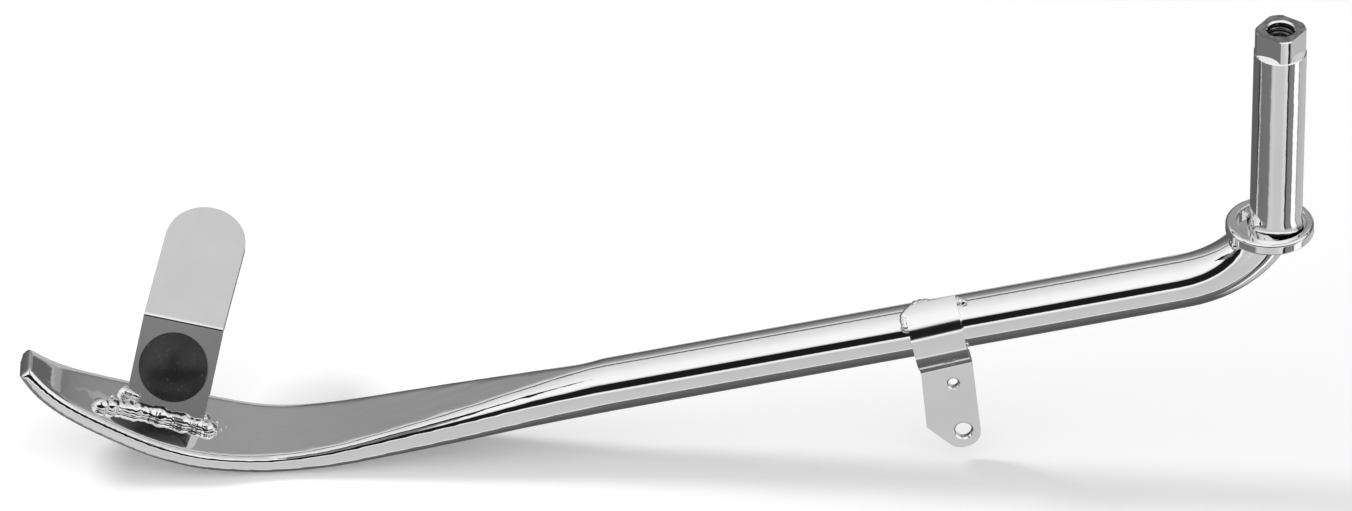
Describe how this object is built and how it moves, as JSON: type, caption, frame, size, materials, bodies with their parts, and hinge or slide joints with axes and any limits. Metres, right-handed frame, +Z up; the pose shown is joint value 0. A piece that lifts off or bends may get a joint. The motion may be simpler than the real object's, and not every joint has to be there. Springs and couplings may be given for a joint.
{
  "type": "motorcycle side stand leg",
  "caption": "Chromed side stand leg: bent round bar with a tapped pivot post and collar, strap bracket for a return spring, spoon foot, and a kick tab with a domed rubber stop.",
  "frame": {"origin": "on the pivot post's axis, where its plain bearing length begins, 4 mm above the collar", "axes": "+Z up the pivot post toward its tapped head; the leg runs toward -X in the XZ plane; the kick tab and foot tab lean toward +Y and the spring bracket hangs on the -Y side"},
  "size_m": [0.3811, 0.0722, 0.149],
  "materials": {
    "chrome_bar": "mirror-polished chrome plate",
    "chrome_post": "mirror-polished chrome plate",
    "chrome_plate": "mirror-polished chrome plate",
    "chrome_weld": "plated over rough weld",
    "rubber_black": "satin moulded rubber"
  },
  "bodies": {
    "root": {"leg_bar": "chrome_bar", "pivot_post": "chrome_post", "pivot_flange": "chrome_post", "flange_weld": "chrome_weld", "kick_tab": "chrome_plate", "rubber_bumper": "rubber_black", "tab_weld_front": "chrome_weld", "tab_weld_rear": "chrome_weld", "spring_bracket": "chrome_plate", "bracket_weld_left": "chrome_weld", "bracket_tack_right": "chrome_weld"}
  },
  "joints": []
}
